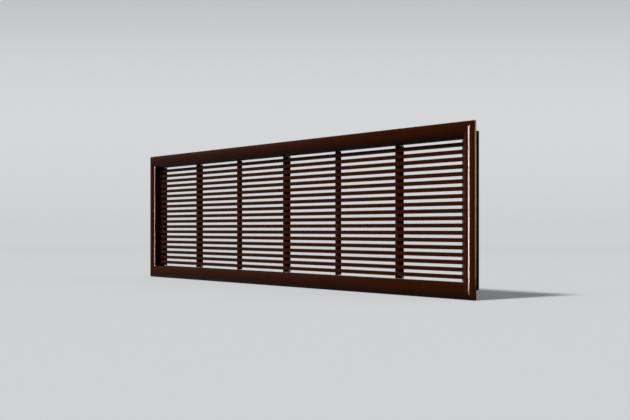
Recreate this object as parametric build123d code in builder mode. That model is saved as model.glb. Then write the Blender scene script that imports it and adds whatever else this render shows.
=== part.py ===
from build123d import *
import os

# Linear bar air grille: a mitred border of rolled section with a neck that enters the wall,
# and a core of horizontal bars on vertical mullions that lifts out of it towards the room.
# X runs along the bars, +Y into the wall and +Z up.  The origin is the centre of the opening
# in the wall plane, which is the plane that the back of the border lies in.

os.makedirs("parts", exist_ok=True)

# Border, all sizes in millimetres
face_width = 1200.0
face_height = 300.0
border_width = 28.0         # outer edge to the opening
lip_depth = 3.5             # wall plane to the outer arris of the roll
roll_rise = 5.8             # arris to the crest of the roll
flange_overlap = 16.0       # outer edge to the outside of the neck
neck_depth = 20.6           # wall plane to the rear of the neck
skin = 1.5                  # wall of the border extrusion
gasket_thickness = 1.5
gasket_width = 11.0

# Corner joints of the border
corner_clearance = 0.15
corner_arm = 45.0
plate_width = 12.0
plate_thickness = 1.5
key_screw_radius = 2.0
key_screw_place = 32.0      # from the key's outer corner, along each arm
hex_socket_radius = 1.1
hex_socket_depth = 2.5

# Fixing holes in the neck, hidden when the core is in
fixing_hole_radius = 2.25
fixing_bays_from_middle = 1.5

# Core
core_clearance = 1.0        # core to the inside of the neck, all round
bar_count = 19
bar_height = 7.2
bar_depth = 5.6
bar_front = 5.4             # bars' front faces behind the wall plane
bar_end_gap = 5.9           # opening to the first and last bar
bar_end_inset = 8.1         # core's end to the ends of the bars
bar_edge_radius = 0.6
rib_neck_height = 3.4       # T-shaped rib along the back of each bar
rib_neck_depth = 1.0
rib_foot_height = 5.0
rib_foot_depth = 1.6
rib_clearance = 0.1
mullion_count = 5
mullion_width = 8.5
mullion_depth = 8.5
mullion_notch = 3.5         # depth that the bars are let into the mullions
mullion_line_inset = 5.3    # side of the opening to the mullion line beyond the last one

# Flat strips behind the bars' ends, and the rivets that lock every bar to them
end_strip_width = 21.5
end_strip_depth = 3.3
end_strip_rivet_inset = 14.0    # core's end to the line of rivets
rivet_radius = 1.0
rivet_clearance = 0.05
rivet_head_radius = 2.2
rivet_head_height = 1.0
rivet_recess = 0.2          # head below the strip's rear face
rivet_in_bar = 2.8          # how far the rivet enters the bar itself

# Stiffening straps behind every other mullion
strap_width = 9.5
strap_depth = 4.6
strap_screw_radius = 1.5
strap_screw_head_radius = 2.8
strap_screw_in_mullion = 4.5
strap_screw_gaps = (-7.5, -2.5, 2.5, 7.5)   # in bar pitches: the middle of a gap between bars
slot_width = 0.7
slot_depth = 0.6

# Spring clips at the straps' ends, which grip the neck
clip_space = 6.0            # opening to the end of the strap
clip_thickness = 0.5
clip_width = 9.0
clip_mullion_gap = 0.4      # hook to the mullion's rear face
clip_base = 14.0            # length that lies on the strap
clip_lip = 2.0              # straight end of the hook
clip_running_gap = 0.3
clip_rivet_place = 6.0      # from the strap's end
clip_rivet_radius = 1.25
clip_rivet_head_radius = 2.25
clip_rivet_head_height = 0.5
clip_rivet_tip = 0.3        # strap left in front of the rivet

# Sheet angles in the neck's sides that the core seats against
stop_leg = 10.0             # leg that stands behind the end strip
stop_side_leg = 10.8        # leg that lies on the neck, within the core's clearance
stop_thickness = 0.8
stop_end_gap = 22.0         # opening to the end of the angle
stop_rivet_inset = 20.0     # end of the angle to its outer rivets
stop_rivet_radius = 1.0
stop_rivet_head_radius = 1.8
stop_rivet_head_height = 0.5
stop_rivet_tail_height = 1.0

# Worked out from the above
half_width = face_width / 2
half_height = face_height / 2
opening_width = face_width - 2 * border_width
opening_height = face_height - 2 * border_width
plate_face = -gasket_thickness - skin          # front of the flange plate
roll_radius = (border_width**2 / 4 + roll_rise**2) / (2 * roll_rise)
roll_centre = roll_radius - roll_rise - lip_depth
chamber_width = border_width - flange_overlap - 2 * skin
chamber_front = -gasket_thickness
chamber_rear = neck_depth - skin
chamber_inset = flange_overlap + skin
key_screw_length = skin + chamber_width / 2
bar_rear = bar_front + bar_depth
rib_rear = bar_rear + rib_neck_depth + rib_foot_depth
mullion_front = bar_rear - mullion_notch
mullion_rear = mullion_front + mullion_depth
mullion_length = opening_height - 2 * core_clearance
mullion_pitch = (opening_width - 2 * mullion_line_inset) / (mullion_count + 1)
core_length = opening_width - 2 * core_clearance
bar_length = core_length - 2 * bar_end_inset
bar_pitch = (opening_height - 2 * bar_end_gap - bar_height) / (bar_count - 1)
end_strip_place = (core_length - end_strip_width) / 2
end_strip_rear = rib_rear + end_strip_depth
rivet_place = core_length / 2 - end_strip_rivet_inset
strap_rear = mullion_rear + strap_depth
clip_hook_radius = (strap_depth + clip_thickness - clip_mullion_gap) / 2
strap_length = opening_height - 2 * clip_space
stop_length = opening_height - 2 * stop_end_gap
key_screw_depth = (chamber_front + chamber_rear) / 2
fixing_places = [side * fixing_bays_from_middle * mullion_pitch for side in (-1, 1)]
bar_heights = [(bar_count - 1) / 2 * bar_pitch - row * bar_pitch for row in range(bar_count)]
strap_columns = [-2 * mullion_pitch, 0.0, 2 * mullion_pitch]
CORNERS = {"top_left": (-1, 1), "top_right": (1, 1), "bottom_left": (-1, -1), "bottom_right": (1, -1)}


def write(part, label):
    part.label = label
    export_step(part, f"parts/{label}.step")


# ---------------------------------------------------------------- border

def inward_of(outer_middle):
    """Unit vector from the middle of one outer edge towards the opening."""
    return (Vector(0, 0, 0) - outer_middle).normalized()


def drill_plane(outer_middle):
    """Plane whose x runs along a border side, whose y runs out of the wall and whose z runs inward."""
    inward = inward_of(outer_middle)
    return Plane(origin=outer_middle, x_dir=inward.cross(Vector(0, 1, 0)), z_dir=inward)


def border_side(outer_middle, half_length, fixings, rivets):
    """One side of the border: two-chamber extrusion, mitred, with its key screw holes.

    fixings are the places of the fixing holes along it, and rivets those of the stop angle's.
    """
    inward = inward_of(outer_middle)
    along = inward.cross(Vector(0, 1, 0))
    with BuildPart() as side:
        with BuildSketch(Plane(origin=outer_middle, x_dir=inward, z_dir=along)):
            with BuildLine():
                ThreePointArc(
                    (0, -lip_depth), (border_width / 2, -lip_depth - roll_rise), (border_width, -lip_depth)
                )
                Polyline(
                    (border_width, -lip_depth),
                    (border_width, neck_depth),
                    (flange_overlap, neck_depth),
                    (flange_overlap, -gasket_thickness),
                    (skin, -gasket_thickness),
                    (skin, 0),
                    (0, 0),
                    (0, -lip_depth),
                )
            make_face()
            # chamber behind the roll, an arc that leaves an even skin
            inner_radius = roll_radius - skin
            half_chord = (inner_radius**2 - (roll_centre - plate_face) ** 2) ** 0.5
            with BuildLine():
                ThreePointArc(
                    (border_width / 2 - half_chord, plate_face),
                    (border_width / 2, roll_centre - inner_radius),
                    (border_width / 2 + half_chord, plate_face),
                )
                Line(
                    (border_width / 2 + half_chord, plate_face),
                    (border_width / 2 - half_chord, plate_face),
                )
            make_face(mode=Mode.SUBTRACT)
            with Locations((chamber_inset + chamber_width / 2, (chamber_front + chamber_rear) / 2)):
                Rectangle(chamber_width, chamber_rear - chamber_front, mode=Mode.SUBTRACT)
        extrude(amount=half_length, both=True)
        for end in (-1, 1):
            outer_corner = outer_middle + along * end * half_length
            split(bisect_by=Plane(origin=outer_corner, z_dir=inward * -1 - along * end), keep=Keep.TOP)
        key_screw_from_middle = half_length - chamber_inset - corner_clearance - key_screw_place
        drilling = drill_plane(outer_middle)
        with BuildSketch(drilling.offset(border_width - skin)):
            with Locations(*[(end * key_screw_from_middle, -key_screw_depth) for end in (-1, 1)]):
                Circle(key_screw_radius + rivet_clearance)
            if rivets:
                with Locations(*[(place, -stop_rivet_depth) for place in rivets]):
                    Circle(stop_rivet_radius + rivet_clearance)
        extrude(amount=skin, mode=Mode.SUBTRACT)
        if fixings:
            with BuildSketch(drilling.offset(flange_overlap)):
                with Locations(*[(place, -neck_depth / 2) for place in fixings]):
                    Circle(fixing_hole_radius)
            extrude(amount=border_width - flange_overlap, mode=Mode.SUBTRACT)
    return side.part


top_edge = Vector(0, 0, half_height)
bottom_edge = Vector(0, 0, -half_height)
left_edge = Vector(-half_width, 0, 0)
right_edge = Vector(half_width, 0, 0)
stop_rear = end_strip_rear + stop_thickness
stop_front = stop_rear - stop_side_leg
stop_rivet_depth = (stop_front + end_strip_rear) / 2
stop_rivet_places = [side * (stop_length / 2 - stop_rivet_inset) for side in (-1, 0, 1)]

write(border_side(top_edge, half_width, fixing_places, []), "frame_top")
write(border_side(bottom_edge, half_width, fixing_places, []), "frame_bottom")
write(border_side(left_edge, half_height, [], stop_rivet_places), "frame_left")
write(border_side(right_edge, half_height, [], stop_rivet_places), "frame_right")


# ---------------------------------------------------------------- corner joints

def corner_piece(side_x, side_z, inset, width, front, rear, screw_holes):
    """L-shaped piece inside a mitre, from depth front to depth rear, inset from the border's outer edges."""
    corner_x = side_x * (half_width - inset)
    corner_z = side_z * (half_height - inset)
    with BuildPart() as piece:
        with BuildSketch(Plane.XZ.offset(-rear)):
            with Locations((corner_x - side_x * corner_arm / 2, corner_z - side_z * width / 2)):
                Rectangle(corner_arm, width)
            with Locations((corner_x - side_x * width / 2, corner_z - side_z * corner_arm / 2)):
                Rectangle(width, corner_arm)
        extrude(amount=rear - front)
        if screw_holes:
            for plane in key_screw_planes(side_x, side_z):
                with BuildSketch(plane):
                    Circle(key_screw_radius + rivet_clearance)
                extrude(amount=-key_screw_length - rivet_clearance, mode=Mode.SUBTRACT)
    return piece.part


def key_screw_planes(side_x, side_z):
    """Planes at the outer ends of the two screws of one key, flush with the neck and facing the opening."""
    along_x = half_width - chamber_inset - corner_clearance - key_screw_place
    along_z = half_height - chamber_inset - corner_clearance - key_screw_place
    in_rail = Vector(side_x * along_x, key_screw_depth, side_z * opening_height / 2)
    in_stile = Vector(side_x * opening_width / 2, key_screw_depth, side_z * along_z)
    return [Plane(origin=in_rail, z_dir=(0, 0, -side_z)), Plane(origin=in_stile, z_dir=(-side_x, 0, 0))]


for corner, (side_x, side_z) in CORNERS.items():
    key = corner_piece(
        side_x,
        side_z,
        chamber_inset + corner_clearance,
        chamber_width - 2 * corner_clearance,
        chamber_front + corner_clearance,
        chamber_rear - corner_clearance,
        True,
    )
    write(key, f"corner_key_{corner}")
    plate_rear = plate_face - corner_clearance
    plate = corner_piece(
        side_x,
        side_z,
        (border_width - plate_width) / 2,
        plate_width,
        plate_rear - plate_thickness,
        plate_rear,
        False,
    )
    write(plate, f"corner_plate_{corner}")

with BuildPart() as key_screws:
    for side_x, side_z in CORNERS.values():
        for plane in key_screw_planes(side_x, side_z):
            with BuildSketch(plane):
                Circle(key_screw_radius)
            extrude(amount=-key_screw_length)
            with BuildSketch(plane):
                RegularPolygon(hex_socket_radius, 6)
            extrude(amount=-hex_socket_depth, mode=Mode.SUBTRACT)
write(key_screws.part, "key_screws")


# ---------------------------------------------------------------- gasket behind the flange

gasket_inset = (skin + flange_overlap - gasket_width) / 2
long_strip = face_width - 2 * gasket_inset
short_strip = face_height - 2 * (gasket_inset + gasket_width)
strip_x = half_width - gasket_inset - gasket_width / 2
strip_z = half_height - gasket_inset - gasket_width / 2
GASKETS = {
    "gasket_top": (0, strip_z, long_strip, gasket_width),
    "gasket_bottom": (0, -strip_z, long_strip, gasket_width),
    "gasket_left": (-strip_x, 0, gasket_width, short_strip),
    "gasket_right": (strip_x, 0, gasket_width, short_strip),
}
for label, (middle_x, middle_z, size_x, size_z) in GASKETS.items():
    with BuildPart() as strip:
        with BuildSketch(Plane.XZ):
            with Locations((middle_x, middle_z)):
                Rectangle(size_x, size_z)
        extrude(amount=gasket_thickness)
    write(strip.part, label)


# ---------------------------------------------------------------- stop angles

def stop_rivet_plane(side, place):
    """Plane on the neck's side under a stop angle, at one rivet, facing the opening."""
    return Plane(origin=(side * opening_width / 2, stop_rivet_depth, place), z_dir=(-side, 0, 0))


for label, side in (("core_stop_left", -1), ("core_stop_right", 1)):
    with BuildPart() as stop:
        with BuildSketch(Plane.XY):
            with Locations((side * (opening_width / 2 - stop_leg / 2), end_strip_rear + stop_thickness / 2)):
                Rectangle(stop_leg, stop_thickness)
            with Locations((side * (opening_width / 2 - stop_thickness / 2), (stop_front + stop_rear) / 2)):
                Rectangle(stop_thickness, stop_side_leg)
        extrude(amount=stop_length / 2, both=True)
        for place in stop_rivet_places:
            neck_side = stop_rivet_plane(side, place)
            with BuildSketch(neck_side):
                Circle(stop_rivet_radius + rivet_clearance)
            extrude(amount=stop_thickness, mode=Mode.SUBTRACT)
            with BuildSketch(neck_side.offset(stop_thickness - stop_rivet_head_height)):
                Circle(stop_rivet_head_radius + rivet_clearance)
            extrude(amount=stop_rivet_head_height, mode=Mode.SUBTRACT)
    write(stop.part, label)

with BuildPart() as stop_rivets:
    for side in (-1, 1):
        for place in stop_rivet_places:
            neck_side = stop_rivet_plane(side, place)
            with BuildSketch(neck_side.offset(stop_thickness - stop_rivet_head_height)):
                Circle(stop_rivet_head_radius)
            extrude(amount=stop_rivet_head_height)
            with BuildSketch(neck_side.offset(stop_thickness - stop_rivet_head_height)):
                Circle(stop_rivet_radius)
            extrude(amount=stop_rivet_head_height - stop_thickness - skin)
            with BuildSketch(neck_side.offset(-skin)):
                Circle(stop_rivet_head_radius)
            extrude(amount=-stop_rivet_tail_height)
write(stop_rivets.part, "stop_rivets")


# ---------------------------------------------------------------- bars

def rib_section(height, clearance):
    """T-shaped rib behind the bar at one height, or with a clearance the groove that it slides in."""
    with Locations((bar_rear + (rib_neck_depth + clearance) / 2, height)):
        Rectangle(rib_neck_depth + clearance, rib_neck_height + 2 * clearance)
    foot_front = bar_rear + rib_neck_depth - clearance
    foot_rear = rib_rear + clearance
    with Locations(((foot_front + foot_rear) / 2, height)):
        Rectangle(foot_rear - foot_front, rib_foot_height + 2 * clearance)


for row, height in enumerate(bar_heights, start=1):
    with BuildPart() as bar:
        with BuildSketch(Plane.YZ):
            with Locations((bar_front + bar_depth / 2, height)):
                RectangleRounded(bar_depth, bar_height, bar_edge_radius)
            rib_section(height, 0)
        extrude(amount=bar_length / 2, both=True)
        with BuildSketch(Plane.XZ.offset(-rib_rear)):
            with Locations((-rivet_place, height), (rivet_place, height)):
                Circle(rivet_radius + rivet_clearance)
        extrude(amount=rib_rear - bar_rear + rivet_in_bar + rivet_clearance, mode=Mode.SUBTRACT)
    write(bar.part, f"bar_{row:02d}")


# ---------------------------------------------------------------- mullions

def grooved_mullion(middle):
    """Vertical mullion with a notch across its front for every bar and a groove behind it for the rib."""
    with BuildPart() as mullion:
        with BuildSketch(Plane.YZ.offset(middle)):
            with Locations(((mullion_front + mullion_rear) / 2, 0)):
                Rectangle(mullion_depth, mullion_length)
            with BuildSketch(mode=Mode.SUBTRACT):
                for height in bar_heights:
                    with Locations((bar_rear - mullion_notch / 2, height)):
                        Rectangle(mullion_notch, bar_height + 2 * rib_clearance)
                    rib_section(height, rib_clearance)
        extrude(amount=mullion_width / 2, both=True)
    return mullion.part


def drilled(blank, rear, rear_holes):
    """The blank with holes into its rear face: each (x, z, radius, depth)."""
    with BuildPart() as piece:
        add(blank)
        for x, z, radius, depth in rear_holes:
            with BuildSketch(Plane.XZ.offset(-rear)):
                with Locations((x, z)):
                    Circle(radius)
            extrude(amount=depth, mode=Mode.SUBTRACT)
    return piece.part


screw_heights = [gap * bar_pitch for gap in strap_screw_gaps]
strap_screw_hole = strap_screw_radius + rivet_clearance
for number in range(1, mullion_count + 1):
    middle = (number - (mullion_count + 1) / 2) * mullion_pitch
    mullion = grooved_mullion(middle)
    if middle in strap_columns:
        hole_depth = strap_screw_in_mullion + rivet_clearance
        holes = [(middle, z, strap_screw_hole, hole_depth) for z in screw_heights]
        mullion = drilled(mullion, mullion_rear, holes)
    write(mullion, f"mullion_{number}")


# ---------------------------------------------------------------- end strips and the bars' rivets

head_bore = (rivet_head_radius + rivet_clearance, rivet_recess + rivet_head_height)
shank_bore = (rivet_radius + rivet_clearance, end_strip_depth)
head_front = end_strip_rear - rivet_recess - rivet_head_height
for label, side in (("end_strip_left", -1), ("end_strip_right", 1)):
    with BuildPart() as blank:
        with BuildSketch(Plane.XZ.offset(-rib_rear)):
            with Locations((side * end_strip_place, 0)):
                Rectangle(end_strip_width, mullion_length)
        extrude(amount=-end_strip_depth)
    column = side * rivet_place
    holes = [(column, height, *bore) for height in bar_heights for bore in (head_bore, shank_bore)]
    write(drilled(blank.part, end_strip_rear, holes), label)
    with BuildPart() as rivets:
        for height in bar_heights:
            with BuildSketch(Plane.XZ.offset(-end_strip_rear + rivet_recess)):
                with Locations((column, height)):
                    Circle(rivet_head_radius)
            extrude(amount=rivet_head_height)
            with BuildSketch(Plane.XZ.offset(-head_front)):
                with Locations((column, height)):
                    Circle(rivet_radius)
            extrude(amount=head_front - bar_rear + rivet_in_bar)
    write(rivets.part, label.replace("end_strip", "bar_rivets"))


# ---------------------------------------------------------------- straps, their screws and the clips

STRAP_NAMES = ("strap_left", "strap_centre", "strap_right")
clip_rivet_height = strap_length / 2 - clip_rivet_place
for label, column in zip(STRAP_NAMES, strap_columns):
    with BuildPart() as strap:
        with BuildSketch(Plane.XZ.offset(-mullion_rear)):
            with Locations((column, 0)):
                Rectangle(strap_width, strap_length)
        extrude(amount=-strap_depth)
        rear_face = Plane(origin=(column, strap_rear, 0), x_dir=(-1, 0, 0), z_dir=(0, 1, 0))
        with Locations(*[rear_face * Pos(0, z, 0) for z in screw_heights]):
            CounterSinkHole(strap_screw_hole, strap_screw_head_radius + rivet_clearance, strap_depth, 90)
        with BuildSketch(rear_face):
            with Locations((0, clip_rivet_height), (0, -clip_rivet_height)):
                Circle(clip_rivet_radius + rivet_clearance)
        extrude(amount=clip_rivet_tip - strap_depth, mode=Mode.SUBTRACT)
    write(strap.part, label)

with BuildPart() as strap_screws:
    shank_tip = -strap_depth - strap_screw_in_mullion
    for column in strap_columns:
        for height in screw_heights:
            profile = Plane(origin=(column, strap_rear, height), x_dir=(1, 0, 0), z_dir=(0, 0, 1))
            with BuildSketch(profile):
                with BuildLine():
                    Polyline(
                        (0, 0),
                        (strap_screw_head_radius, 0),
                        (strap_screw_radius, strap_screw_radius - strap_screw_head_radius),
                        (strap_screw_radius, shank_tip),
                        (0, shank_tip),
                        close=True,
                    )
                make_face()
            revolve(axis=Axis((column, strap_rear, height), (0, 1, 0)))
            with BuildSketch(Plane(origin=(column, strap_rear, height), z_dir=(0, 1, 0))):
                Rectangle(slot_width, 2 * strap_screw_head_radius)
            extrude(amount=-slot_depth, mode=Mode.SUBTRACT)
write(strap_screws.part, "strap_screws")

hook_middle = strap_rear + clip_thickness - clip_hook_radius
hook_inner = clip_hook_radius - clip_thickness
hook_height = opening_height / 2 - clip_running_gap - clip_hook_radius
base_end = strap_length / 2 - clip_base
hook_tip = hook_height - clip_lip
clip_number = 0
for column in strap_columns:
    for end in (1, -1):
        clip_number += 1
        with BuildPart() as clip:
            with BuildSketch(Plane.YZ.offset(column)):
                with BuildLine():
                    Line(
                        (hook_middle + clip_hook_radius, end * base_end),
                        (hook_middle + clip_hook_radius, end * hook_height),
                    )
                    ThreePointArc(
                        (hook_middle + clip_hook_radius, end * hook_height),
                        (hook_middle, end * (hook_height + clip_hook_radius)),
                        (hook_middle - clip_hook_radius, end * hook_height),
                    )
                    Polyline(
                        (hook_middle - clip_hook_radius, end * hook_height),
                        (hook_middle - clip_hook_radius, end * hook_tip),
                        (hook_middle - hook_inner, end * hook_tip),
                        (hook_middle - hook_inner, end * hook_height),
                    )
                    ThreePointArc(
                        (hook_middle - hook_inner, end * hook_height),
                        (hook_middle, end * (hook_height + hook_inner)),
                        (hook_middle + hook_inner, end * hook_height),
                    )
                    Polyline(
                        (hook_middle + hook_inner, end * hook_height),
                        (hook_middle + hook_inner, end * base_end),
                        (hook_middle + clip_hook_radius, end * base_end),
                    )
                make_face()
            extrude(amount=clip_width / 2, both=True)
            with BuildSketch(Plane.XZ.offset(-strap_rear - clip_thickness)):
                with Locations((column, end * clip_rivet_height)):
                    Circle(clip_rivet_radius + rivet_clearance)
            extrude(amount=clip_thickness, mode=Mode.SUBTRACT)
        write(clip.part, f"spring_clip_{clip_number}")

with BuildPart() as clip_rivets:
    for column in strap_columns:
        for end in (1, -1):
            clip_hole = (column, strap_rear + clip_thickness, end * clip_rivet_height)
            clip_face = Plane(origin=clip_hole, z_dir=(0, 1, 0))
            with BuildSketch(clip_face):
                Circle(clip_rivet_head_radius)
            extrude(amount=clip_rivet_head_height)
            with BuildSketch(clip_face):
                Circle(clip_rivet_radius)
            extrude(amount=clip_rivet_tip - clip_thickness - strap_depth)
write(clip_rivets.part, "clip_rivets")
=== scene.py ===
import math

import bpy
import numpy as np
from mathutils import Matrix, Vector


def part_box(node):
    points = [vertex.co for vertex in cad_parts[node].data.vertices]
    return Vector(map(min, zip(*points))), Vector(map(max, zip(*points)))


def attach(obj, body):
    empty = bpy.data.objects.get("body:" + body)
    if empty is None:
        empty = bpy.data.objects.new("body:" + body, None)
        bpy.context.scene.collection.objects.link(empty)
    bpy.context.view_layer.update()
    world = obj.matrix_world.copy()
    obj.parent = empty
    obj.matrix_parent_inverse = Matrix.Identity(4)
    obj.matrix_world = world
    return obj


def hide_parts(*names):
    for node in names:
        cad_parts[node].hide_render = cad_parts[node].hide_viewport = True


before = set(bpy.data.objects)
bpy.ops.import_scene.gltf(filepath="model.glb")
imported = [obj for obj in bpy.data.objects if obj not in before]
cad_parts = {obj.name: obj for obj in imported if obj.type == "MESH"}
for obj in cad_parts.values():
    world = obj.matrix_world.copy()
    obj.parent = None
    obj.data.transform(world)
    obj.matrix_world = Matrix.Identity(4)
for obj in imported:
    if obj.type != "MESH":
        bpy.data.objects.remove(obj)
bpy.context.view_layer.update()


# ---------------------------------------------------------------- border
# Four lengths of one aluminium extrusion, mitred at the corners: a rolled face with a thin return at its
# outer edge, and a neck behind it that enters the wall.  Stoved gloss brown on the face, painted lighter
# on the two stiles than on the rails as painted light; the neck is painted nearly black and dull as
# painted shade.

top_low, top_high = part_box("frame_top")
HALF_WIDTH = top_high.x
HALF_HEIGHT = top_high.z
BORDER_WIDTH = top_high.z - top_low.z
NECK_REAR = top_high.y
LIP_DEPTH = 0.0035
FLANGE_OVERLAP = 0.016
RETURN_WALL = 0.0015
ROLL_RISE = -top_low.y - LIP_DEPTH
ROLL_STEPS = 56
BORDER_EDGE = 0.00015
BROWN = (0.0290, 0.0058, 0.0005)
BROWN_DEEP = (0.0245, 0.0045, 0.0003)
# The stiles' brown is lighter than the rails' although both are one extrusion: painted light, standing in for
# light falling on the stiles' outer slopes from the right.
STILE_PAINTED_LIGHT_BROWN = (0.0390, 0.0078, 0.0007)
STILE_PAINTED_LIGHT_DEEP = (0.0335, 0.0062, 0.0004)
# The neck's near-black colours are painted shade, standing in for the shade behind the flange and inside the
# opening.
NECK_PAINTED_SHADE_BROWN = (0.0060, 0.0020, 0.0010)
NECK_PAINTED_SHADE_CLOUD = (0.011, 0.0040, 0.0020)
SPECK_BROWN = (0.075, 0.030, 0.012)
PAINT_GLOSS = 0.015
NECK_GLOSS = 0.01
PEEL_HEIGHT = 0.00002
NECK_GRAIN_HEIGHT = 0.00003


class Value:
    """A number that varies over a surface: one socket of a material's node tree, with arithmetic."""

    def __init__(self, finish, socket):
        self.finish = finish
        self.socket = socket

    def combined(self, operation, first, second):
        """Two numbers or Values put through one Math node."""
        return self.finish.node("ShaderNodeMath", {"operation": operation}, {0: first, 1: second})

    def __add__(self, other):
        return self.combined("ADD", self, other)

    __radd__ = __add__

    def __sub__(self, other):
        return self.combined("SUBTRACT", self, other)

    def __rsub__(self, other):
        return self.combined("SUBTRACT", other, self)

    def __mul__(self, other):
        return self.combined("MULTIPLY", self, other)

    __rmul__ = __mul__


class Finish:
    """One material, made of nodes: a Principled surface whose inputs are given as constants or Values."""

    def __init__(self, name):
        self.material = bpy.data.materials.new(name)
        self.material.use_nodes = True
        self.tree = self.material.node_tree
        self.surface = self.tree.nodes["Principled BSDF"]
        self.place = self.node("ShaderNodeTexCoord", output="Object")

    def node(self, kind, settings=None, inputs=None, output=0):
        """A node of a kind: its settings are made first, then its inputs as numbers, colours or Values."""
        made = self.tree.nodes.new(kind)
        for key, setting in (settings or {}).items():
            setattr(made, key, setting)
        for key, given in (inputs or {}).items():
            self.feed(made.inputs[key], given)
        return Value(self, made.outputs[output])

    def feed(self, socket, given):
        """A link for a Value, and otherwise the socket's own number or colour."""
        if isinstance(given, Value):
            self.tree.links.new(given.socket, socket)
        elif isinstance(given, tuple) and len(given) == 3 and socket.type == "RGBA":
            socket.default_value = (*given, 1)
        else:
            socket.default_value = given

    def set(self, **inputs):
        """Principled inputs by name, with _ for a space."""
        for key, given in inputs.items():
            self.feed(self.surface.inputs[key.replace("_", " ")], given)

    def stretched(self, scale):
        """Object coordinates times a scale for each axis."""
        return self.node("ShaderNodeVectorMath", {"operation": "MULTIPLY"}, {0: self.place, 1: scale})

    def noise(self, scale, detail=3.0, roughness=0.55, at=None):
        """Cloudy noise from 0 to 1 with cells 1/scale metres across."""
        inputs = {"Vector": at or self.place, "Scale": scale, "Detail": detail, "Roughness": roughness}
        return self.node("ShaderNodeTexNoise", None, inputs)

    def ramp(self, value, low, high, out_low=0.0, out_high=1.0):
        """value from low to high becomes out_low to out_high, held at the ends."""
        inputs = {"Value": value, "From Min": low, "From Max": high, "To Min": out_low, "To Max": out_high}
        return self.node("ShaderNodeMapRange", None, inputs)

    def blend(self, share, first, second):
        """Colour first where share is 0 and second where it is 1."""
        inputs = {0: share, 6: first, 7: second}
        return self.node("ShaderNodeMix", {"data_type": "RGBA"}, inputs, output=2)

    def bump(self, height, distance, strength=1.0):
        """Normal of a surface raised by height (0 to 1) times distance in metres."""
        inputs = {"Strength": strength, "Distance": distance, "Height": height}
        return self.node("ShaderNodeBump", None, inputs)


def gloss_brown(name, streak_axis, light=BROWN, deep=BROWN_DEEP, gloss=PAINT_GLOSS):
    """Stoved brown gloss on an extrusion: cloudy colour, faint orange peel, and die lines along one axis."""
    finish = Finish(name)
    clouds = finish.noise(7.0, 4.0)
    along = tuple(1.5 if axis == streak_axis else 420.0 for axis in "XYZ")
    die_lines = finish.noise(1.0, 2.0, 0.5, at=finish.stretched(along))
    peel = finish.noise(1500.0, 1.0, 0.4)
    specks = finish.ramp(finish.noise(2600.0, 0.0, 0.5), 0.80, 0.86)
    shade = finish.ramp(clouds * 0.75 + die_lines * 0.25, 0.35, 0.65)
    brown = finish.blend(shade, deep, light)
    handled = finish.ramp(finish.noise(16.0, 5.0, 0.62), 0.5, 0.72)
    finish.set(
        Base_Color=finish.blend(specks * 0.35, brown, SPECK_BROWN),
        Roughness=0.115 + 0.03 * die_lines + 0.02 * handled,
        Normal=finish.bump(peel * 0.65 + die_lines * 0.35, PEEL_HEIGHT, 0.25),
        Specular_IOR_Level=gloss,
    )
    return finish.material


def painted_shade_neck(name):
    """Painted shade: a nearly black, dull finish with cloudy tone and die lines, standing in for the shade
    the neck sits in.
    """
    finish = Finish(name)
    neck_clouds = finish.noise(90.0, 4.0, 0.6)
    lines = finish.noise(1.0, 2.0, 0.5, at=finish.stretched((4.0, 900.0, 900.0)))
    finish.set(
        Base_Color=finish.blend(finish.ramp(neck_clouds, 0.35, 0.7), NECK_PAINTED_SHADE_BROWN, NECK_PAINTED_SHADE_CLOUD),
        Roughness=0.62 + 0.16 * neck_clouds,
        Normal=finish.bump(lines * 0.6 + neck_clouds * 0.4, NECK_GRAIN_HEIGHT, 0.5),
        Specular_IOR_Level=NECK_GLOSS,
    )
    return finish.material


def arc(middle, radius, from_angle, to_angle, steps):
    """Points of a circular arc, middle + radius * (cos t, sin t), with t in radians from the first axis."""
    turn = np.linspace(from_angle, to_angle, steps)
    return np.column_stack((middle[0] + radius * np.cos(turn), middle[1] + radius * np.sin(turn)))


def piece(name, points, faces, materials, face_slots=None, smooth_below=30.0):
    """A mesh object of points and faces, smooth but for edges that turn by more than an angle in degrees."""
    mesh = bpy.data.meshes.new(name)
    mesh.from_pydata(points, [], faces)
    mesh.validate()
    for material in materials:
        mesh.materials.append(material)
    if face_slots is not None:
        mesh.polygons.foreach_set("material_index", face_slots)
    mesh.polygons.foreach_set("use_smooth", np.ones(len(mesh.polygons), bool))
    mesh.set_sharp_from_angle(angle=math.radians(smooth_below))
    made = bpy.data.objects.new(name, mesh)
    bpy.context.scene.collection.objects.link(made)
    return made


def soften_edges(made, width, segments=2):
    """Rounds a piece's sharp edges by a small width."""
    bevel = made.modifiers.new("edges", "BEVEL")
    bevel.width = width
    bevel.segments = segments
    bevel.limit_method = "ANGLE"
    bevel.angle_limit = math.radians(30)
    bevel.harden_normals = True
    return made


def carried(outline, start, finish, across, depth, along):
    """Points and faces of a closed outline carried in a straight line.

    A point is a * across + b * depth + s * along, where (a, b) is the outline's point and s is its start
    or finish, which may differ from point to point, as at a mitre.
    """
    count = len(outline)
    a, b = outline[:, :1], outline[:, 1:]
    flat = a * np.array(across) + b * np.array(depth)
    shifts = [np.broadcast_to(place, (count,))[:, None] for place in (start, finish)]
    ends = [flat + shift * np.array(along) for shift in shifts]
    here = np.arange(count)
    after = (here + 1) % count
    sides = np.column_stack((here, after, after + count, here + count)).tolist()
    first, second = outline.T
    area = np.sum(first * np.roll(second, -1) - np.roll(first, -1) * second)
    handed = np.linalg.det(np.array([across, depth, along], float)) * area > 0
    caps = [here[::-1].tolist(), (here + count).tolist()]
    faces = sides + caps
    if not handed:
        faces = [face[::-1] for face in faces]
    return np.vstack(ends), faces


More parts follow.
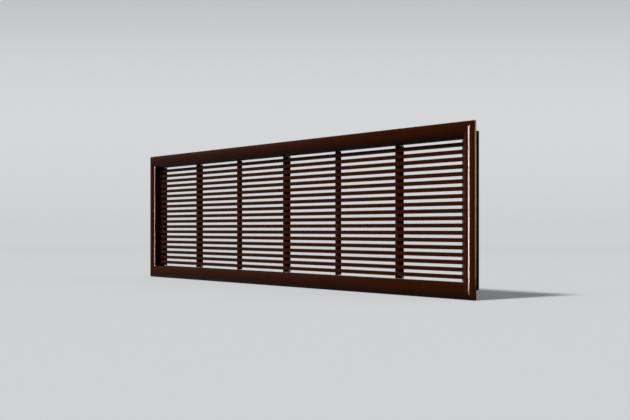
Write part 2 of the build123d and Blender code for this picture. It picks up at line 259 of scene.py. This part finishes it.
def border_outline():
    """The extrusion's outer section and which of its sides are neck.

    Points are (inset from the outer edge, depth into the wall).  The roll is the arc through both edges of
    the face with the rise in its middle: radius = (width^2 / 4 + rise^2) / (2 * rise).
    """
    radius = (BORDER_WIDTH**2 / 4 + ROLL_RISE**2) / (2 * ROLL_RISE)
    half_turn = math.asin(BORDER_WIDTH / 2 / radius)
    middle = (BORDER_WIDTH / 2, radius - ROLL_RISE - LIP_DEPTH)
    roll = arc(middle, radius, -math.pi / 2 - half_turn, -math.pi / 2 + half_turn, ROLL_STEPS)
    behind = [
        (BORDER_WIDTH, NECK_REAR),
        (FLANGE_OVERLAP, NECK_REAR),
        (FLANGE_OVERLAP, -RETURN_WALL),
        (RETURN_WALL, -RETURN_WALL),
        (RETURN_WALL, 0),
        (0, 0),
    ]
    outline = np.vstack((roll, behind))
    is_neck = np.zeros(len(outline), int)
    is_neck[ROLL_STEPS - 1 : ROLL_STEPS + 3] = 1
    return outline, is_neck


rail_gloss = gloss_brown("border_gloss_long", "X")
# The stiles get the lighter brown, which is painted light.
stile_gloss_painted_light = gloss_brown("border_gloss_short_painted_light", "Z", STILE_PAINTED_LIGHT_BROWN, STILE_PAINTED_LIGHT_DEEP)
# The neck's nearly black coat is painted shade.
neck_painted_shade = painted_shade_neck("neck_painted_shade")
section, neck_sides = border_outline()
BORDER = {
    "top": ((0, 0, -1), (0, 0, HALF_HEIGHT), (1, 0, 0), HALF_WIDTH),
    "bottom": ((0, 0, 1), (0, 0, -HALF_HEIGHT), (1, 0, 0), HALF_WIDTH),
    "left": ((1, 0, 0), (-HALF_WIDTH, 0, 0), (0, 0, 1), HALF_HEIGHT),
    "right": ((-1, 0, 0), (HALF_WIDTH, 0, 0), (0, 0, 1), HALF_HEIGHT),
}
for side, (inward, outer_middle, along, half_length) in BORDER.items():
    mitre = half_length - section[:, 0]
    points, faces = carried(section, -mitre, mitre, inward, (0, 1, 0), along)
    slots = np.concatenate((neck_sides, [1, 1]))
    gloss = rail_gloss if along[0] else stile_gloss_painted_light
    length = piece(f"border_{side}", points + np.array(outer_middle), faces, [gloss, neck_painted_shade], slots)
    soften_edges(length, BORDER_EDGE)
    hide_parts(f"frame_{side}")
    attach(length, "frame")


# ---------------------------------------------------------------- corner joints
# Cast L-shaped keys in the neck chamber and thin angle plates behind the roll, in mill aluminium, which hold
# the mitres.  Each key is locked by two black grub screws that come through the neck.

MILL_GREY = (0.58, 0.58, 0.59)
MILL_TARNISH = (0.42, 0.42, 0.43)
SCREW_BLACK = (0.035, 0.035, 0.038)
SCREW_DEEP = (0.018, 0.018, 0.02)
SCRATCH_DEPTH = 0.00002


def mill_metal(name, bright, tarnished, roughness):
    """Bare metal with fine random scratches and a cloudy tarnish."""
    finish = Finish(name)
    tarnish = finish.noise(120.0, 4.0, 0.6)
    scratches = finish.noise(1.0, 3.0, 0.6, at=finish.stretched((160.0, 2400.0, 900.0)))
    finish.set(
        Base_Color=finish.blend(finish.ramp(tarnish, 0.35, 0.7), bright, tarnished),
        Metallic=1.0,
        Roughness=roughness + 0.14 * scratches,
        Normal=finish.bump(scratches, SCRATCH_DEPTH, 0.5),
    )
    return finish.material


mill_aluminium = mill_metal("mill_aluminium", MILL_GREY, MILL_TARNISH, 0.34)
CORNERS = [f"{row}_{side}" for row in ("top", "bottom") for side in ("left", "right")]


def refinish(node, material):
    """Gives a part that stays as it is a finish in place of its plain one."""
    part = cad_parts[node]
    part.data.materials.clear()
    part.data.materials.append(material)


for corner in CORNERS:
    refinish(f"corner_key_{corner}", mill_aluminium)
    refinish(f"corner_plate_{corner}", mill_aluminium)
black_screw = mill_metal("black_screw", SCREW_BLACK, SCREW_DEEP, 0.32)
refinish("key_screws", black_screw)


# ---------------------------------------------------------------- gasket
# Closed-cell foam tape, nearly black, stuck in the recess behind the flange.  It is pressed level with the
# return once the border is screwed in place.

FOAM_WALL = (0.010, 0.010, 0.011)
FOAM_CELL = (0.030, 0.030, 0.032)
CELL_DEPTH = 0.00012
foam = Finish("foam_tape")
cells = foam.node("ShaderNodeTexVoronoi", {"feature": "F1"}, {"Vector": foam.place, "Scale": 1400.0})
grain = foam.noise(700.0, 3.0)
foam.set(
    Base_Color=foam.blend(foam.ramp(cells, 0.0, 0.6), FOAM_WALL, FOAM_CELL),
    Roughness=0.86 + 0.1 * grain,
    Normal=foam.bump(cells * 0.7 + grain * 0.3, CELL_DEPTH),
    Specular_IOR_Level=0.2,
)
for side in BORDER:
    refinish(f"gasket_{side}", foam.material)


# ---------------------------------------------------------------- stop angles
# Thin sheet angles riveted to the neck's two sides, in the neck's nearly black, dull finish of painted
# shade.  The core's end strips seat against them.

RIVET_BRIGHT = (0.62, 0.62, 0.63)
RIVET_TARNISH = (0.5, 0.5, 0.51)
# Painted shade, the same as on the neck.
stop_painted_shade = painted_shade_neck("stop_painted_shade")
rivet_metal = mill_metal("rivet_aluminium", RIVET_BRIGHT, RIVET_TARNISH, 0.28)
for side in ("left", "right"):
    refinish(f"core_stop_{side}", stop_painted_shade)
refinish("stop_rivets", rivet_metal)


# ---------------------------------------------------------------- bars
# Solid extruded aluminium bars with rounded edges and a T-shaped rib along the back, which slides through
# the mullions.  Gloss brown like the border, a little lighter.

BAR_DEPTH = 0.0056
BAR_EDGE = 0.0006
BAR_EDGE_STEPS = 7
RIB_NECK_HEIGHT, RIB_NECK_DEPTH = 0.0034, 0.0010
RIB_FOOT_HEIGHT, RIB_FOOT_DEPTH = 0.0050, 0.0016
RIB_EDGE = 0.00018
BAR_BROWN = (0.0385, 0.0080, 0.0008)
BAR_DEEP = (0.0330, 0.0063, 0.0005)
bar_names = sorted(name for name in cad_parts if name.startswith("bar_") and "rivets" not in name)


def bar_outline(height, front, half_height):
    """The bar's section at one height, as (height, depth): a rounded rectangle with the T rib behind it."""
    rear = front + BAR_DEPTH
    quarter = math.pi / 2
    low_middle = height - (half_height - BAR_EDGE)
    high_middle = height + (half_height - BAR_EDGE)
    corners = [
        arc((across, depth), BAR_EDGE, first, first + quarter, BAR_EDGE_STEPS)
        for across, depth, first in (
            (low_middle, front + BAR_EDGE, 2 * quarter),
            (high_middle, front + BAR_EDGE, 3 * quarter),
            (high_middle, rear - BAR_EDGE, 0),
            (low_middle, rear - BAR_EDGE, quarter),
        )
    ]
    neck, foot = RIB_NECK_HEIGHT / 2, RIB_FOOT_HEIGHT / 2
    foot_front = rear + RIB_NECK_DEPTH
    foot_rear = foot_front + RIB_FOOT_DEPTH
    rib = np.array(
        [
            (height + neck, rear),
            (height + neck, foot_front),
            (height + foot, foot_front),
            (height + foot, foot_rear),
            (height - foot, foot_rear),
            (height - foot, foot_front),
            (height - neck, foot_front),
            (height - neck, rear),
        ]
    )
    return np.vstack((*corners[:3], rib, corners[3]))


bar_gloss = gloss_brown("bar_gloss", "X", BAR_BROWN, BAR_DEEP)
for name in bar_names:
    low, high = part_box(name)
    outline = bar_outline((low.z + high.z) / 2, low.y, (high.z - low.z) / 2)
    points, faces = carried(outline, low.x, high.x, (0, 0, 1), (0, 1, 0), (1, 0, 0))
    bar = piece(f"rounded_{name}", points, faces, [bar_gloss])
    soften_edges(bar, RIB_EDGE)
    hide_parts(name)
    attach(bar, "core")


# ---------------------------------------------------------------- mullions and straps
# Vertical aluminium mullions, notched across the front for the bars and their ribs, flat strips at both ends,
# and flat straps screwed behind every other mullion.  Satin brown.

SATIN_BROWN = (0.0300, 0.0062, 0.0010)
SATIN_DEEP = (0.0245, 0.0048, 0.0007)
SATIN_GLOSS = 0.012
core_satin = gloss_brown("core_satin", "Z", SATIN_BROWN, SATIN_DEEP, SATIN_GLOSS)
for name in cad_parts:
    if name.startswith(("mullion_", "end_strip_", "strap_")) and name != "strap_screws":
        refinish(name, core_satin)


# ---------------------------------------------------------------- fasteners and clips
# Aluminium rivets for the bars and the clips, zinc-plated screws for the straps, and clips bent from spring
# steel strip.

ZINC_BRIGHT = (0.55, 0.56, 0.57)
ZINC_DULL = (0.40, 0.41, 0.43)
SPRING_GREY = (0.36, 0.35, 0.34)
SPRING_DEEP = (0.26, 0.24, 0.22)
zinc = mill_metal("zinc_plate", ZINC_BRIGHT, ZINC_DULL, 0.3)
spring_steel = mill_metal("spring_steel", SPRING_GREY, SPRING_DEEP, 0.24)
for name in ("bar_rivets_left", "bar_rivets_right", "clip_rivets"):
    refinish(name, rivet_metal)
refinish("strap_screws", zinc)
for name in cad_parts:
    if name.startswith("spring_clip_"):
        refinish(name, spring_steel)


# ---------------------------------------------------------------- studio
# Pale paper sweep that is floor and backdrop in one.  A soft key light stands high in front, and a fill
# without shadow brightens the back.  An upright strip box before each end and a rim box behind the right
# end light only the gloss of the two stiles.

PAPER_TONE = (0.50, 0.51, 0.52)
PAPER_HIGH = (0.90, 0.91, 0.92)
PAPER_BOUNCE = (0.03, 0.03, 0.03)
AWAY_FROM_CAMERA = (-0.825, 0.565, 0.0)
ALONG_SWEEP = (0.565, 0.825, 0.0)
SWEEP_NEAR = -60.0
SWEEP_BEND = 5.0
SWEEP_RADIUS = 2.0
SWEEP_HEIGHT = 7.0
SWEEP_HALF_WIDTH = 60.0
FLOOR_GAP = 0.0002
TONE_RISE = 2.0
WORLD_GREY = (0.25, 0.25, 0.25)
LAMP_DISTANCE = 4.0
STRIP_MIDDLE = 0.041
STRIP_HEIGHT = 0.378
STRIP_WARM = (1.0, 0.84, 0.74)
RIM_WARM = (1.0, 0.70, 0.42)


def paper_sweep(near, bend, radius, height):
    """Outline of the paper: level from near to bend, a quarter circle up, then upright to a height."""
    turn = arc((bend, radius), radius, -math.pi / 2, 0, 33)
    return np.vstack(([(near, 0.0)], turn, [(bend + radius, height)]))


run = paper_sweep(SWEEP_NEAR, SWEEP_BEND, SWEEP_RADIUS, SWEEP_HEIGHT)
rows = np.array([run[:, :1] * np.array(AWAY_FROM_CAMERA) + run[:, 1:] * np.array([0, 0, 1.0])] * 2)
sideways = np.array([-SWEEP_HALF_WIDTH, SWEEP_HALF_WIDTH])[:, None, None] * np.array(ALONG_SWEEP)
rows += sideways + np.array([0, 0, -HALF_HEIGHT - FLOOR_GAP])
count = len(run)
step = np.arange(count - 1)
strips = np.column_stack((step, step + 1, step + 1 + count, step + count))[:, ::-1].tolist()
paper_finish = Finish("paper")
sight = paper_finish.node("ShaderNodeLightPath", output="Is Camera Ray")
mirrored = paper_finish.node("ShaderNodeLightPath", output="Is Glossy Ray")
through = paper_finish.node("ShaderNodeLightPath", output="Is Transmission Ray")
rise = paper_finish.node("ShaderNodeSeparateXYZ", None, {0: paper_finish.place}, output="Z")
pale = paper_finish.blend(paper_finish.ramp(rise, 0.0, TONE_RISE), PAPER_TONE, PAPER_HIGH)
paper_finish.set(
    Base_Color=paper_finish.blend(sight + mirrored + through, PAPER_BOUNCE, pale),
    Roughness=0.95,
    Specular_IOR_Level=0.0,
)
paper = piece("paper_sweep", rows.reshape(-1, 3), strips, [paper_finish.material])

world = bpy.data.worlds.new("studio")
bpy.context.scene.world = world
world.use_nodes = True
world.node_tree.nodes["Background"].inputs["Color"].default_value = (*WORLD_GREY, 1)


def light(name, kind, place, target, power):
    """A lamp at a place, facing a target, unseen by the camera."""
    lamp = bpy.data.lights.new(name, kind)
    lamp.energy = power
    holder = bpy.data.objects.new(name, lamp)
    bpy.context.scene.collection.objects.link(holder)
    holder.location = place
    facing = Vector(target) - Vector(place)
    holder.rotation_euler = facing.to_track_quat("-Z", "Y").to_euler()
    holder.visible_camera = False
    return holder


def soft_box(name, place, target, width, height, power):
    """Rectangular lamp whose height is upright."""
    holder = light(name, "AREA", place, target, power)
    holder.data.shape = "RECTANGLE"
    holder.data.size = width
    holder.data.size_y = height
    return holder


def round_grille(azimuth, elevation):
    """A lamp's place round the grille's middle; azimuth 0 is straight in front, positive to the right."""
    turn, climb = math.radians(azimuth), math.radians(elevation)
    level = LAMP_DISTANCE * math.cos(climb)
    return (level * math.sin(turn), -level * math.cos(turn), LAMP_DISTANCE * math.sin(climb))


key = light("key", "SUN", round_grille(6, 49), (0, 0, 0), 3.4)
key.data.angle = math.radians(9)
rear_fill = light("rear_fill", "SUN", round_grille(195, 38), (0, 0, 0), 1.1)
rear_fill.data.angle = math.radians(30)
rear_fill.data.use_shadow = False
right_strip = soft_box(
    "right_strip", (0.446, -0.426, STRIP_MIDDLE), (0.586, 0, STRIP_MIDDLE), 0.092, STRIP_HEIGHT, 9.3
)
left_strip = soft_box(
    "left_strip", (-0.516, -0.444, STRIP_MIDDLE), (-0.587, 0, STRIP_MIDDLE), 0.079, STRIP_HEIGHT, 3.84
)
for strip in (right_strip, left_strip):
    strip.data.spread = math.radians(60)
    strip.data.color = STRIP_WARM
rim = soft_box("rim", (0.97, 0.335, 0.105), (0.6, 0, 0.0745), 0.11, 0.49, 0.30)
rim.data.spread = math.radians(20)
rim.data.color = RIM_WARM

stiles = bpy.data.collections.new("stiles")
for side in ("left", "right"):
    stiles.objects.link(bpy.data.objects[f"border_{side}"])
for lamp in (right_strip, left_strip, rim):
    lamp.visible_diffuse = False
    lamp.light_linking.receiver_collection = stiles


# ---------------------------------------------------------------- camera
# It stands to the right of the grille's front, a little below its middle, and looks level, so that uprights
# stay upright; a small shift raises the frame.

CAMERA_PLACE = (2.038, -1.310, -0.0314)
CAMERA_TURN = 55.59
CAMERA_LENS = 66.27
SENSOR_WIDTH = 36
FRAME_SHIFT = 0.0305
camera_data = bpy.data.cameras.new("camera")
camera = bpy.data.objects.new("camera", camera_data)
bpy.context.scene.collection.objects.link(camera)
camera.location = CAMERA_PLACE
camera.rotation_euler = (math.radians(90), 0, math.radians(CAMERA_TURN))
camera_data.lens = CAMERA_LENS
camera_data.sensor_width = SENSOR_WIDTH
camera_data.shift_y = FRAME_SHIFT
bpy.context.scene.camera = camera
bpy.context.scene.view_settings.view_transform = "Standard"
